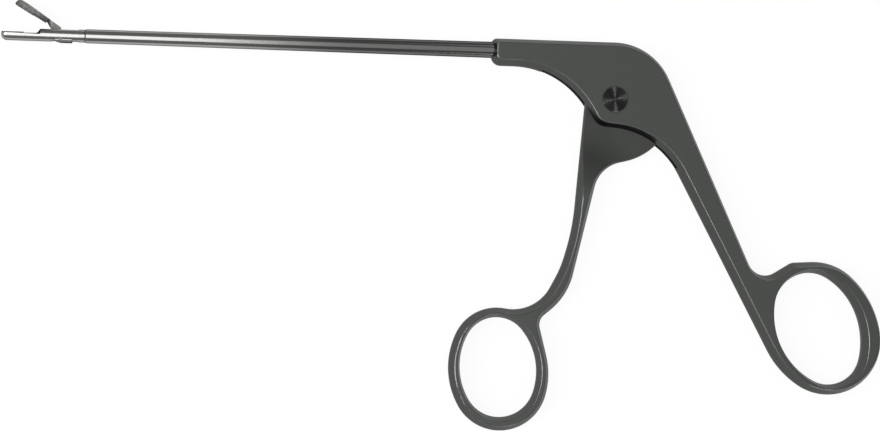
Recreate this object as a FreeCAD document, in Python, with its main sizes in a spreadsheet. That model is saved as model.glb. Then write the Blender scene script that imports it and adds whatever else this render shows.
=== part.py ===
import FreeCAD, Part
import math
import os
import Sketcher

# Loose body grasper, lying on its side.
# +X runs from the jaws to the finger rings, +Y is the side that the upper jaw opens to, and +Z is up.
# The origin is the handle's pivot axis at the plane that the instrument rests on.
# Every handle piece is drawn on its middle plane and then lifted by half of the handle's thickness.

Vector = FreeCAD.Vector

# Driving sizes in millimetres and degrees: name, value, what it is
SIZES = [
    ("handle_thickness", 8.0, "both handles, face to face"),
    ("side_land", 1.2, "upright band left round the middle of a handle's side"),
    ("side_inset", 1.3, "how far a handle's side slopes in at the faces"),
    ("hole_inset", 0.9, "the same slope inside the finger holes"),
    ("face_round", 0.4, "rounding of the face edges"),
    ("hole_round", 0.25, "rounding of the face edges round the finger holes"),
    ("land_round", 2.5, "rounding where the land meets the slopes"),
    ("shaft_height", 12.75, "shaft axis above the handle pivot"),
    ("slot_width", 3.0, "slot between the housing's two cheeks"),
    ("tongue_play", 0.1, "clearance of the tongue at each cheek"),
    ("pin_fit", 0.01, "radial gap of a fixed pin or tube in its seat"),
    ("running_play", 0.05, "radial clearance of a turning or sliding fit"),
    ("edge_break", 0.1, "small bevel on sharp edges"),
    ("overrun", 2.0, "how far a cut is drawn past the metal"),

    ("nose_x", -33.4, "front end of the housing"),
    ("housing_over", 3.1, "top edge of the housing above the shaft axis"),
    ("nose_round", 1.6, "upper corner of the nose"),
    ("nose_under", 4.25, "lower edge at the nose below the shaft axis"),
    ("nose_foot_round", 2.6, "lower corner of the nose"),
    ("throat_x", -27.3, "centre of the long hollow under the housing"),
    ("throat_round", 23.7, "radius of that hollow"),
    ("rear_corner_x", 0.45, "centre of the housing's big rear corner"),
    ("rear_corner_round", 16.5, "radius of that corner"),
    ("heel_x", -1.6, "centre of the low point under the pivot"),
    ("heel_y", -2.9, ""),
    ("heel_round", 4.7, ""),
    ("palm_x", -1.5, "centre of the hollow between housing and rear shank"),
    ("palm_y", -30.4, ""),
    ("palm_round", 22.7, ""),
    ("crotch_x", 42.7, "hollow between the rear shank and its ring"),
    ("crotch_y", -41.4, ""),
    ("crotch_round", 5.0, ""),
    ("shoulder_x", 51.0, "corner where the ring's top begins"),
    ("shoulder_y", -45.7, ""),
    ("shoulder_round", 3.0, ""),

    ("rear_ring_x", 57.84, "middle of the rear finger hole"),
    ("rear_ring_y", -60.84, ""),
    ("rear_ring_tilt", -64.6, "direction of the hole's long axis"),
    ("rear_low_round", 9.22, "hole's end radius away from the hand"),
    ("rear_high_round", 9.79, "hole's end radius near the shank"),
    ("rear_spacing", 12.46, "distance between the two end centres"),
    ("rear_side_round", 20.36, "radius of the hole's sides"),
    ("rear_rim_end", 5.6, "added to the end radii for the outside"),
    ("rear_rim_pull", 5.5, "taken off the spacing for the outside"),
    ("rear_rim_side", 5.1, "added to the side radius for the outside"),
    ("rear_rim_shift_x", 0.56, "outside centre from the hole's centre"),
    ("rear_rim_shift_y", 0.14, ""),
    ("rear_rim_turn", 8.1, "outside axis turned from the hole's axis"),

    ("front_ring_x", -30.04, "middle of the front finger hole"),
    ("front_ring_y", -72.05, ""),
    ("front_ring_tilt", -83.6, ""),
    ("front_low_round", 9.62, ""),
    ("front_high_round", 8.85, ""),
    ("front_spacing", 8.2, ""),
    ("front_side_round", 17.49, ""),
    ("front_rim_end", 3.2, ""),
    ("front_rim_pull", 0.2, ""),
    ("front_rim_side", 3.5, ""),
    ("front_rim_shift_x", 0.08, ""),
    ("front_rim_shift_y", -0.5, ""),
    ("front_rim_turn", 1.2, ""),

    ("lobe_radius", 16.8, "tongue's lower edge, an arc about the pivot"),
    ("lobe_corner_round", 3.0, "corner at the lobe's rear end"),
    ("lobe_corner_angle", -40.5, "where that corner lies about the pivot"),
    ("hub_x", -4.4, "upper front corner of the broad part"),
    ("hub_y", 1.0, ""),
    ("hub_round", 3.0, ""),
    ("tongue_inset", 0.25, "thin plate lies this far inside the broad part"),
    ("root_round", 9.1, "hollow between lobe and front shank"),
    ("root_angle", -80.465, "where that hollow lies about the pivot"),
    ("root_gap", 0.06, "straight stretch between lobe and hollow"),
    ("bend_x", -27.6, "outer side of the front shank's bend"),
    ("bend_y", -43.1, ""),
    ("bend_round", 18.0, ""),
    ("neck_x", -15.7, "small hollow where the shank meets its ring"),
    ("neck_y", -60.9, ""),
    ("neck_round", 3.3, ""),
    ("inner_bend_x", -26.35, "inner side of the bend"),
    ("inner_bend_y", -45.45, ""),
    ("inner_bend_round", 11.45, ""),
    ("lower_edge_x", -41.4, "hollow of the shank's front edge above the bend"),
    ("lower_edge_y", -34.23, ""),
    ("lower_edge_round", 30.0, ""),
    ("front_edge_x", -71.7, "long flat hollow above that"),
    ("front_edge_y", -23.8, ""),
    ("front_edge_round", 62.0, ""),
    ("scoop_start", 10.5, "distance from the pivot at which the tongue starts to thicken"),
    ("scoop_length", 18.0, "length of that ramp"),
    ("scoop_turn", -25.0, "the ramp runs down the shank, turned towards its front edge"),
    ("edge_bevel", 1.3, "bevel along the tongue's front edge"),
    ("bevel_swell", 0.5, "added to it half way down the ramp"),

    ("slot_front_x", -19.7, "front wall of the slot"),
    ("slot_over", 1.85, "roof of the slot above the shaft axis"),
    ("slot_corner_round", 1.5, ""),
    ("slot_back_x", 1.5, "centre of the slot's big rear corner"),
    ("slot_back_round", 11.0, ""),
    ("slot_foot_x", 16.6, "lower rear end of the slot"),
    ("slot_foot_y", -15.2, ""),
    ("slot_foot_round", 2.5, ""),
    ("slot_mouth_x", 8.4, "open end of the slot, outside the housing"),
    ("slot_mouth_y", -30.2, ""),

    ("pivot_radius", 2.5, "pivot pin's shank"),
    ("pivot_head_radius", 3.6, "its head, seen as the bright disc"),
    ("pivot_head_height", 1.4, ""),
    ("pivot_recess", 0.1, "the head lies this far below the near face"),
    ("pivot_flare", 0.7, "spread of the foot, riveted and ground flush with the far face"),

    ("handle_travel", 9.0, "degrees from open to closed"),
    ("jaw_travel", 31.0, "degrees that the jaw turns meanwhile"),
    ("ball_radius", 1.4, "knob on the drive rod"),
    ("prong_width", 1.7, "each side of the notch that holds the knob"),
    ("prong_height", 0.7, "prong above the knob's centre"),
    ("prong_round", 0.5, ""),
    ("neck_radius", 0.7, "rod beside the knob"),
    ("neck_room", 0.7, "bare neck between the front prong and the rod's shoulder"),
    ("neck_slope", 0.3, "length of that shoulder"),
    ("knob_room", 0.3, "room under the knob and its neck"),

    ("socket_depth", 11.0, "tube inside the housing"),
    ("tube_radius", 2.2, "tube at the housing"),
    ("tube_tip_radius", 1.85, "tube at the jaw end"),
    ("tube_bore_radius", 1.45, ""),
    ("bush_seat_radius", 1.75, "counterbore for the guide bush"),
    ("bush_length", 6.0, ""),
    ("rod_radius", 1.0, ""),
    ("rod_passage_radius", 1.3, "hole from the socket to the slot"),

    ("tip_x", -163.05, "front end of the fixed jaw"),
    ("seam_x", -141.1, "joint between tube and jaw piece"),
    ("jaw_radius", 1.7, "outside of the jaw piece"),
    ("tip_round", 1.5, "rounding of the jaw tips"),
    ("spigot_length", 5.0, "jaw piece inside the tube"),
    ("jaw_bore_radius", 1.2, "way for the rod through the jaw piece"),
    ("rim_height", 0.53, "tooth crests above the shaft axis"),
    ("rim_back_height", 0.22, "plain rim behind the teeth"),
    ("teeth_start_x", -157.2, "rear end of the toothed stretch"),
    ("tooth_pitch", 0.6, ""),
    ("tooth_depth", 0.2, ""),
    ("tooth_count", 9, ""),
    ("bite_gap", 0.06, "gap between the closed jaws"),
    ("cheek_foot_x", -153.42, "front edge of the cheeks at the rim"),
    ("cheek_lean", 0.65, "how far that edge leans back"),
    ("cheek_gap", 0.15, "closed upper jaw to the cheeks"),
    ("cheek_toe", 0.5, "length over which the rim falls away before the cheeks"),
    ("trough_radius", 1.1, "hollow of the fixed jaw"),
    ("trough_height", 0.3, "its axis above the shaft axis"),
    ("trough_front", 1.0, "its end behind the tip"),
    ("trough_back_x", -154.6, ""),
    ("roof_hollow_radius", 0.95, "hollow of the upper jaw"),
    ("roof_hollow_height", 0.65, ""),
    ("upper_tip_x", -162.55, "front end of the closed upper jaw"),
    ("upper_tip_round", 1.0, ""),
    ("upper_radius", 1.75, "outside of the upper jaw"),
    ("upper_height", 0.55, "its axis above the shaft axis"),
    ("upper_back_reach", 1.3, "its back end lies this far over the cheeks"),
    ("upper_back_lean", 0.5, "how far that end leans back"),

    ("jaw_pivot_x", -147.63, "jaw's pin"),
    ("jaw_pivot_drop", 1.05, "below the shaft axis"),
    ("jaw_pin_radius", 0.45, ""),
    ("jaw_pin_length", 2.6, ""),
    ("tang_thickness", 0.75, "flat tail of the upper jaw"),
    ("prong_thickness", 0.4, "each prong of the rod's fork"),
    ("side_play", 0.05, "flat clearance in the clevis"),
    ("drive_pin_radius", 0.35, ""),
    ("drive_pin_lead", 0.5, "drive pin behind the jaw pin when closed"),
    ("cam_wall", 0.28, "metal round the cam slot"),
    ("hub_wall", 0.3, "metal round the jaw pin"),
    ("cam_overrun", 0.08, "slot left over at each end"),
    ("tang_root_x", -154.0, "tang's start inside the upper jaw"),
    ("tang_root_round", 0.25, ""),
    ("tang_root_depth", 0.6, "its centre under the top of the jaw"),
    ("tang_back_x", -149.93, "corner on top of the tang"),
    ("tang_back_height", 1.6, ""),
    ("tang_back_round", 0.3, ""),
    ("tang_heel_x", -150.83, "corner under the tang"),
    ("tang_heel_height", -0.05, ""),
    ("clevis_front_x", -153.6, "front end of the clevis slot"),
    ("clevis_back_x", -143.0, ""),
    ("clevis_floor_x", -150.2, "slot's floor ends and its bottom opens"),
    ("clevis_floor_drop", 1.0, ""),
    ("clevis_floor_lean", 1.0, "how far the bottom opening's front wall leans back"),
    ("pad_front_x", -149.0, "pad under the jaw pin"),
    ("pad_back_x", -144.7, ""),
    ("pad_drop", 1.85, ""),
    ("pad_lead", 1.2, "length of its sloping front"),
    ("pad_root", 0.2, "it starts this far inside the jaw piece"),
    ("pad_width", 2.5, ""),
    ("fork_nose", 0.6, "fork round the drive pin"),
    ("fork_throat", 2.1, "depth of the fork behind the drive pin"),
    ("fork_boss", 2.4, "round part behind the fork"),
    ("boss_overlap", 0.2, "round part reaches this far into the throat's metal"),
    ("blade_root", 0.8, "flat part reaches this far into the round part"),
    ("end_gap", 0.3, "room left ahead of a part that slides"),
    ("rod_spigot_radius", 0.6, "rod's end inside the fork"),
    ("rod_spigot_length", 1.5, ""),
]

doc = FreeCAD.newDocument("loose_body_grasper")
sheet = doc.addObject("Spreadsheet::Sheet", "sizes")
for row, (alias, value, note) in enumerate(SIZES, start=1):
    sheet.set(f"A{row}", alias)
    sheet.set(f"B{row}", str(value))
    sheet.set(f"C{row}", note)
    sheet.setAlias(f"B{row}", alias)
doc.recompute()


def size(alias):
    return float(sheet.get(alias))


# Sizes that follow from the driving ones
HALF = size("handle_thickness") / 2
BEVEL_HEIGHT = (size("handle_thickness") - size("side_land")) / 2
TONGUE = size("slot_width") - 2 * size("tongue_play")
ROD_TRAVEL = size("shaft_height") * math.radians(size("handle_travel"))
ARM_TILT = size("handle_travel") / 2
BALL_X = ROD_TRAVEL / 2
TUBE_END_X = size("nose_x") + size("socket_depth")
CLEVIS_WIDTH = size("tang_thickness") + 2 * size("prong_thickness") + 4 * size("side_play")
FORK_WIDTH = CLEVIS_WIDTH - 2 * size("side_play")
DRIVE_PIN_X = size("jaw_pivot_x") + size("drive_pin_lead") + ROD_TRAVEL
CAM_HALF_WIDTH = size("drive_pin_radius") + size("running_play")
BEVEL_STEPS = 6


def lay_out_round(circles):
    """Arcs and lines of the closed line that runs clockwise round a row of circles.

    A circle is (x, y, radius): the line passes outside a positive one and cuts in behind a negative one.
    """
    runs = []
    for (ax, ay, ar), (bx, by, br) in zip(circles, circles[1:] + circles[:1]):
        span = math.hypot(bx - ax, by - ay)
        ux, uy = (bx - ax) / span, (by - ay) / span
        along = (ar - br) / span
        left = 1 - along * along
        across = math.sqrt(left) if left > 1e-6 else 0.0
        nx, ny = along * ux - across * uy, along * uy + across * ux
        runs.append((Vector(ax + ar * nx, ay + ar * ny, 0), Vector(bx + br * nx, by + br * ny, 0)))
    shapes = []
    for index, (cx, cy, radius) in enumerate(circles):
        begin, end = runs[index - 1][1], runs[index][0]
        start_angle = math.atan2(begin.y - cy, begin.x - cx)
        end_angle = math.atan2(end.y - cy, end.x - cx)
        turn = (start_angle - end_angle) % (2 * math.pi)
        middle = start_angle - turn / 2
        if radius < 0:
            turn = (end_angle - start_angle) % (2 * math.pi)
            middle = start_angle + turn / 2
        through = Vector(cx + abs(radius) * math.cos(middle), cy + abs(radius) * math.sin(middle), 0)
        shapes.append(Part.Arc(begin, through, end))
        if runs[index][0].distanceToPoint(runs[index][1]) > 1e-5:
            shapes.append(Part.LineSegment(runs[index][0], runs[index][1]))
    return shapes


def lay_out_polygon(points):
    corners = [Vector(x, y, 0) for x, y in points]
    return [Part.LineSegment(a, b) for a, b in zip(corners, corners[1:] + corners[:1])]


def egg(x, y, tilt, low, high, spacing, side):
    """Four circles of an egg, clockwise from its high end; tilt points from the high to the low end."""
    ux, uy = math.cos(math.radians(tilt)), math.sin(math.radians(tilt))
    shift = ((side - high) ** 2 - (side - low) ** 2) / (2 * spacing)
    reach = math.sqrt((side - low) ** 2 - (shift - spacing / 2) ** 2)
    middle_x, middle_y = x + ux * shift, y + uy * shift
    high_end = (x - ux * spacing / 2, y - uy * spacing / 2, high)
    low_end = (x + ux * spacing / 2, y + uy * spacing / 2, low)
    right_side = (middle_x + uy * reach, middle_y - ux * reach, side)
    left_side = (middle_x - uy * reach, middle_y + ux * reach, side)
    return [high_end, right_side, low_end, left_side]


def ring_hole(name):
    return egg(size(name + "_ring_x"), size(name + "_ring_y"), size(name + "_ring_tilt"),
               size(name + "_low_round"), size(name + "_high_round"),
               size(name + "_spacing"), size(name + "_side_round"))


def ring_outside(name):
    end = size(name + "_rim_end")
    return egg(size(name + "_ring_x") + size(name + "_rim_shift_x"),
               size(name + "_ring_y") + size(name + "_rim_shift_y"),
               size(name + "_ring_tilt") + size(name + "_rim_turn"),
               size(name + "_low_round") + end, size(name + "_high_round") + end,
               size(name + "_spacing") - size(name + "_rim_pull"),
               size(name + "_side_round") + size(name + "_rim_side"))


def circle_of(name, sign=1):
    return (size(name + "_x"), size(name + "_y"), sign * size(name + "_round"))


def turned(x, y, degrees):
    c, s = math.cos(math.radians(degrees)), math.sin(math.radians(degrees))
    return (x * c - y * s, x * s + y * c)


# Small helpers for bodies and their features

def new_body(label, x="0", y="0", z="sizes.handle_thickness / 2"):
    body = doc.addObject("PartDesign::Body", label)
    body.Label = label
    body.setExpression("Placement.Base.x", x)
    body.setExpression("Placement.Base.y", y)
    body.setExpression("Placement.Base.z", z)
    return body


def new_sketch(body, name, shapes, plane="XY_Plane", lift=0.0, shift=0.0):
    """A sketch on one of the body's own planes, lifted along its normal and shifted along its upright."""
    sketch = body.newObject("Sketcher::SketchObject", name)
    support = next(f for f in body.Origin.OriginFeatures if f.Role == plane)
    sketch.AttachmentSupport = (support, [""])
    sketch.MapMode = "FlatFace"
    sketch.AttachmentOffset = FreeCAD.Placement(Vector(0, shift, lift), FreeCAD.Rotation())
    sketch.addGeometry(shapes, False)
    return sketch


def circle_sketch(body, name, x, y, radius, plane="XY_Plane", lift=0.0):
    """One circle whose radius is bound to an expression of the sheet."""
    circle = Part.Circle(Vector(x, y, 0), Vector(0, 0, 1), 1.0)
    sketch = new_sketch(body, name, [circle], plane, lift)
    number = sketch.addConstraint(Sketcher.Constraint("Radius", 0, 1.0))
    sketch.renameConstraint(number, "radius")
    sketch.setExpression("Constraints.radius", radius)
    return sketch


def both_ways(body, kind, name, sketch, width):
    feature = body.newObject("PartDesign::" + kind, name)
    feature.Profile = sketch
    feature.SideType = "Symmetric"
    feature.setExpression("Length", width)
    doc.recompute()
    return feature


def one_way(body, kind, name, sketch, length):
    feature = body.newObject("PartDesign::" + kind, name)
    feature.Profile = sketch
    feature.SideType = "One side"
    feature.setExpression("Length", length)
    doc.recompute()
    return feature


def turn(body, kind, name, sketch):
    """A full turn about the sketch's own level axis."""
    feature = body.newObject("PartDesign::" + kind, name)
    feature.Profile = sketch
    feature.ReferenceAxis = (sketch, ["H_Axis"])
    feature.Angle = 360
    doc.recompute()
    return feature


def level_edges(feature, height, keep=None):
    """Names of the edges that lie all along at one height, as seen from the middle plane."""
    names = []
    for number, edge in enumerate(feature.Shape.Edges, start=1):
        first, last = edge.ParameterRange
        spots = [edge.valueAt(first + (last - first) * share) for share in (0.0, 0.5, 1.0)]
        if all(abs(spot.z - height) < 1e-4 for spot in spots) and (keep is None or keep(spots[1])):
            names.append(f"Edge{number}")
    return names


def slope_sides(body, feature, name, inset, keep=None):
    for side in (1, -1):
        chamfer = body.newObject("PartDesign::Chamfer", f"{name}_slope_{'near' if side > 0 else 'far'}")
        chamfer.Base = (feature, level_edges(feature, side * HALF, keep))
        chamfer.ChamferType = "Two distances"
        chamfer.FlipDirection = False
        chamfer.setExpression("Size", "(sizes.handle_thickness - sizes.side_land) / 2")
        chamfer.setExpression("Size2", inset)
        doc.recompute()
        feature = chamfer
    return feature


def round_level(body, feature, name, height, radius, keep=None):
    fillet = body.newObject("PartDesign::Fillet", name)
    edges = level_edges(feature, height, keep) + level_edges(feature, -height, keep)
    fillet.Base = (feature, edges)
    fillet.setExpression("Radius", radius)
    doc.recompute()
    return fillet


def shape_handle(body, outline, hole):
    """Thick plate with sloping sides, soft edges and a finger hole."""
    plate = new_sketch(body, "outline", lay_out_round(outline))
    solid = both_ways(body, "Pad", "plate", plate, "sizes.handle_thickness")
    solid = slope_sides(body, solid, "outer", "sizes.side_inset")
    solid = round_level(body, solid, "face_edges", HALF, "sizes.face_round")
    solid = round_level(body, solid, "land_edges", HALF - BEVEL_HEIGHT, "sizes.land_round")
    opening = new_sketch(body, "finger_hole", lay_out_round(hole))
    solid = both_ways(body, "Pocket", "finger_hole_cut", opening, "sizes.handle_thickness * 2")

    xs = [x for x, y, radius in hole]
    ys = [y for x, y, radius in hole]
    middle = Vector(sum(xs) / len(xs), sum(ys) / len(ys), 0)
    rim = hole[2][2] * 2

    def in_hole(spot):
        flat = Vector(spot.x, spot.y, 0)
        return any(abs(math.hypot(flat.x - x, flat.y - y) - r) < 1e-3 for x, y, r in hole) \
            and flat.distanceToPoint(middle) < rim

    def near_hole(spot):
        flat = Vector(spot.x, spot.y, 0)
        inset = size("hole_inset")
        return any(abs(math.hypot(flat.x - x, flat.y - y) - r - inset) < 1e-3 for x, y, r in hole)

    solid = slope_sides(body, solid, "hole", "sizes.hole_inset", in_hole)
    return round_level(body, solid, "hole_edges", HALF, "sizes.hole_round", near_hole)


def make_rear_handle():
    """Housing with two cheeks, rear shank and rear finger ring, in one piece."""
    body = new_body("rear_handle")
    top = size("shaft_height") + size("housing_over")
    foot = size("shaft_height") - size("nose_under")
    nose_round = size("nose_round")
    foot_round = size("nose_foot_round")
    corner = size("rear_corner_round")
    throat = size("throat_round")
    outline = [
        (size("nose_x") + nose_round, top - nose_round, nose_round),
        (size("rear_corner_x"), top - corner, corner),
        circle_of("crotch", -1),
        circle_of("shoulder"),
    ]
    outline += ring_outside("rear")
    outline += [
        circle_of("palm", -1),
        circle_of("heel"),
        (size("throat_x"), foot - throat, -throat),
        (size("nose_x") + foot_round, foot + foot_round, foot_round),
    ]
    shape_handle(body, outline, ring_hole("rear"))
    cut_housing_slot(body)
    cut_pivot_seat(body)
    cut_tube_socket(body)
    return body


def cut_housing_slot(body):
    small = size("slot_corner_round")
    back = size("slot_back_round")
    top = size("shaft_height") + size("slot_over")
    slot = [
        (size("slot_front_x") + small, top - small, small),
        (size("slot_back_x"), top - back, back),
        circle_of("slot_foot"),
        (size("slot_mouth_x"), size("slot_mouth_y"), small),
        (size("slot_front_x") + small, size("slot_mouth_y"), small),
    ]
    sketch = new_sketch(body, "slot", lay_out_round(slot))
    both_ways(body, "Pocket", "slot_cut", sketch, "sizes.slot_width")


def cut_pivot_seat(body):
    shank = circle_sketch(body, "pivot_bore", 0, 0, "sizes.pivot_radius + sizes.pin_fit")
    both_ways(body, "Pocket", "pivot_bore_cut", shank, "sizes.handle_thickness * 2")
    head = circle_sketch(body, "head_seat", 0, 0, "sizes.pivot_head_radius + sizes.pin_fit", lift=HALF)
    bored = one_way(body, "Pocket", "head_seat_cut", head, "sizes.pivot_head_height + sizes.pivot_recess")
    rim = size("pivot_radius") + size("pin_fit")
    edges = level_edges(bored, -HALF, lambda spot: abs(math.hypot(spot.x, spot.y) - rim) < 1e-3)
    foot = body.newObject("PartDesign::Chamfer", "foot_seat")
    foot.Base = (bored, edges)
    foot.setExpression("Size", "sizes.pivot_flare")
    doc.recompute()


def cut_tube_socket(body):
    height = size("shaft_height")
    socket = circle_sketch(body, "socket", height, 0, "sizes.tube_radius + sizes.pin_fit",
                           "YZ_Plane", TUBE_END_X)
    one_way(body, "Pocket", "socket_cut", socket, "sizes.socket_depth + sizes.overrun")
    passage = circle_sketch(body, "rod_passage", height, 0, "sizes.rod_passage_radius",
                            "YZ_Plane", size("slot_front_x") + size("overrun"))
    one_way(body, "Pocket", "rod_passage_cut", passage,
            "sizes.slot_front_x - sizes.nose_x - sizes.socket_depth + 2 * sizes.overrun")


def make_front_handle():
    """Front shank and ring, thinned to a tongue that turns in the slot, with a notched arm on top."""
    body = new_body("front_handle")
    reach = size("lobe_radius") - size("lobe_corner_round")
    corner_x, corner_y = turned(reach, 0, size("lobe_corner_angle"))
    root_reach = size("lobe_radius") + size("root_gap") + size("root_round")
    root_x, root_y = turned(root_reach, 0, size("root_angle"))
    high, right, low, left = ring_outside("front")
    outline = [
        circle_of("hub"),
        (corner_x, corner_y, size("lobe_corner_round")),
        (0, 0, size("lobe_radius")),
        (root_x, root_y, -size("root_round")),
        circle_of("bend"),
        circle_of("neck", -1),
        right, low, left, high,
        circle_of("inner_bend", -1),
        circle_of("lower_edge", -1),
        circle_of("front_edge", -1),
    ]
    shape_handle(body, outline, ring_hole("front"))
    thin_tongue(body)
    bevel_front_edge(body, lay_out_round(outline)[-1])
    add_arm(body, (corner_x, corner_y, size("lobe_corner_round") - size("tongue_inset")))
    bore = circle_sketch(body, "pivot_bore", 0, 0, "sizes.pivot_radius + sizes.running_play")
    both_ways(body, "Pocket", "pivot_bore_cut", bore, "sizes.handle_thickness * 2")
    cut_knob_notch(body)
    return body


def scoop_rise(distance):
    """Half thickness of the tongue and its ramp at a distance down from the pivot."""
    flat, run = TONGUE / 2, size("scoop_length")
    half_run, half_rise = run / 2, (HALF - flat) / 2
    radius = (half_run ** 2 + half_rise ** 2) / (2 * half_rise)
    along = min(max(distance - size("scoop_start"), 0.0), run)
    if along < half_run:
        return flat + radius - math.sqrt(radius ** 2 - along ** 2)
    return HALF - radius + math.sqrt(radius ** 2 - (run - along) ** 2)


def thin_tongue(body):
    """Scoops on both faces: flat down to the tongue, then a ramp in two soft bends up to full thickness."""
    start = -size("scoop_start")
    end = start - size("scoop_length")
    past = size("shaft_height") * 2
    for side in (1, -1):
        quarters = [start + (end - start) * part / 4 for part in range(5)]
        foot, low, middle, high, crest = (Vector(x, side * scoop_rise(-x), 0) for x in quarters)
        outer = side * (HALF + size("overrun"))
        shapes = [
            Part.Arc(foot, low, middle),
            Part.Arc(middle, high, crest),
            Part.LineSegment(crest, Vector(crest.x, outer, 0)),
            Part.LineSegment(Vector(crest.x, outer, 0), Vector(past, outer, 0)),
            Part.LineSegment(Vector(past, outer, 0), Vector(past, foot.y, 0)),
            Part.LineSegment(Vector(past, foot.y, 0), foot),
        ]
        name = "scoop_near" if side > 0 else "scoop_far"
        sketch = new_sketch(body, name, shapes, "YZ_Plane")
        turn_back = FreeCAD.Rotation(Vector(0, 1, 0), size("scoop_turn"))
        sketch.AttachmentOffset = FreeCAD.Placement(Vector(0, 0, 0), turn_back)
        both_ways(body, "Pocket", name + "_cut", sketch, "sizes.lobe_radius * 4")


def bevel_front_edge(body, front_line):
    """Bevel that follows the straight front edge while the tongue thickens."""
    foot, top = front_line.StartPoint, front_line.EndPoint
    down = size("scoop_start") + size("scoop_length")
    land, past = size("side_land") / 2, size("overrun")
    for side in (1, -1):
        sections = []
        for step in range(BEVEL_STEPS + 1):
            share = step / BEVEL_STEPS
            y = top.y - down * share
            edge = top.x + (foot.x - top.x) * (top.y - y) / (top.y - foot.y)
            bevel = size("edge_bevel") + size("bevel_swell") * math.sin(math.pi * share)
            distance = turned(edge, y, -size("scoop_turn"))[1]
            face = scoop_rise(-distance)
            outer = face + past * (face - land) / bevel
            points = [(edge, land), (edge + bevel + past, outer), (edge - past, outer), (edge - past, land)]
            section = lay_out_polygon([(x, side * v) for x, v in points])
            sketch = new_sketch(body, "bevel_section", section, "XZ_Plane", -y)
            sections.append(sketch)
        loft = body.newObject("PartDesign::SubtractiveLoft", "bevel_near" if side > 0 else "bevel_far")
        loft.Profile = sections[0]
        loft.Sections = sections[1:]
        loft.Ruled = True
        doc.recompute()


def add_arm(body, lobe_corner):
    inset = size("tongue_inset")
    small = size("prong_round")
    side = size("ball_radius") + size("running_play") + size("prong_width") - small
    top = size("shaft_height") + size("prong_height") - small
    front_x, front_y = turned(-side, top, -ARM_TILT)
    rear_x, rear_y = turned(side, top, -ARM_TILT)
    plate = [
        (front_x, front_y, small),
        (rear_x, rear_y, small),
        lobe_corner,
        (0, 0, size("lobe_radius") - inset),
        (size("hub_x"), -size("lobe_radius"), size("hub_round") - size("edge_bevel") - inset),
        (size("hub_x"), size("hub_y"), size("hub_round") - size("edge_bevel") - inset),
    ]
    sketch = new_sketch(body, "arm_plate", lay_out_round(plate))
    both_ways(body, "Pad", "arm", sketch, "sizes.slot_width - 2 * sizes.tongue_play")


def cut_knob_notch(body):
    """U-shaped notch for the knob, and a narrower slot in the front prong for the rod's neck."""
    half = size("ball_radius") + size("running_play")
    height = size("shaft_height") / math.cos(math.radians(ARM_TILT))
    floor = height - size("ball_radius") - size("knob_room")
    past = height + size("prong_height") + size("overrun")
    notch = [turned(x, y, -ARM_TILT) for x, y in ((-half, floor), (-half, past), (half, past), (half, floor))]
    sketch = new_sketch(body, "knob_notch", lay_out_polygon(notch))
    both_ways(body, "Pocket", "knob_notch_cut", sketch, "sizes.handle_thickness * 2")
    sill = height - size("neck_radius") - size("knob_room")
    front = -half - size("prong_width") - size("overrun")
    neck = [turned(x, y, -ARM_TILT) for x, y in ((front, sill), (front, past), (0, past), (0, sill))]
    sketch = new_sketch(body, "neck_slot", lay_out_polygon(neck))
    both_ways(body, "Pocket", "neck_slot_cut", sketch, "2 * (sizes.neck_radius + sizes.running_play)")


def make_pivot_pin():
    """Headed pin, riveted over in the far cheek."""
    body = new_body("pivot_pin")
    shank = size("pivot_radius")
    head = size("pivot_head_radius")
    flare = size("pivot_flare")
    edge = size("edge_break")
    top = HALF - size("pivot_recess")
    seat = top - size("pivot_head_height")
    profile = [
        (top, 0), (top, head - edge), (top - edge, head), (seat, head), (seat, shank),
        (flare - HALF, shank), (-HALF, shank + flare), (-HALF, 0),
    ]
    sketch = new_sketch(body, "profile", lay_out_polygon(profile), "XZ_Plane")
    sketch.AttachmentOffset = FreeCAD.Placement(Vector(0, 0, 0), FreeCAD.Rotation(Vector(0, 0, 1), 90))
    turn(body, "Revolution", "pin", sketch)
    return body


def make_shaft_tube():
    """Tube that tapers from the housing down to the jaw piece."""
    body = new_body("shaft_tube", y="sizes.shaft_height")
    seam, nose, end = size("seam_x"), size("nose_x"), TUBE_END_X
    bore, seat, tip = size("tube_bore_radius"), size("bush_seat_radius"), size("tube_tip_radius")
    edge = size("edge_break")
    profile = [
        (seam, bore), (seam, tip - edge), (seam + edge, tip),
        (nose, size("tube_radius")), (end, size("tube_radius")), (end, seat),
        (end - size("bush_length"), seat), (end - size("bush_length"), bore),
    ]
    sketch = new_sketch(body, "profile", lay_out_polygon(profile))
    turn(body, "Revolution", "tube", sketch)
    return body


def make_rod_guide_bush():
    body = new_body("rod_guide_bush", y="sizes.shaft_height")
    inner = size("rod_radius") + size("running_play")
    outer = size("bush_seat_radius") - size("pin_fit")
    start = TUBE_END_X - size("bush_length")
    profile = [(start, inner), (start, outer), (TUBE_END_X, outer), (TUBE_END_X, inner)]
    sketch = new_sketch(body, "profile", lay_out_polygon(profile))
    turn(body, "Revolution", "bush", sketch)
    return body


def make_drive_rod():
    """Round rod with a spigot for the fork at its front and a neck for the knob at its rear."""
    body = new_body("drive_rod", y="sizes.shaft_height")
    rod, neck, spigot = size("rod_radius"), size("neck_radius"), size("rod_spigot_radius")
    front = DRIVE_PIN_X + size("fork_throat") + size("fork_boss")
    shoulder = BALL_X - size("ball_radius") - size("prong_width") - size("neck_room")
    taper = shoulder - size("neck_slope")
    profile = [
        (front - size("rod_spigot_length"), 0), (front - size("rod_spigot_length"), spigot),
        (front, spigot), (front, rod), (taper, rod), (shoulder, neck), (BALL_X, neck), (BALL_X, 0),
    ]
    sketch = new_sketch(body, "profile", lay_out_polygon(profile))
    turn(body, "Revolution", "rod", sketch)
    return body


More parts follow.
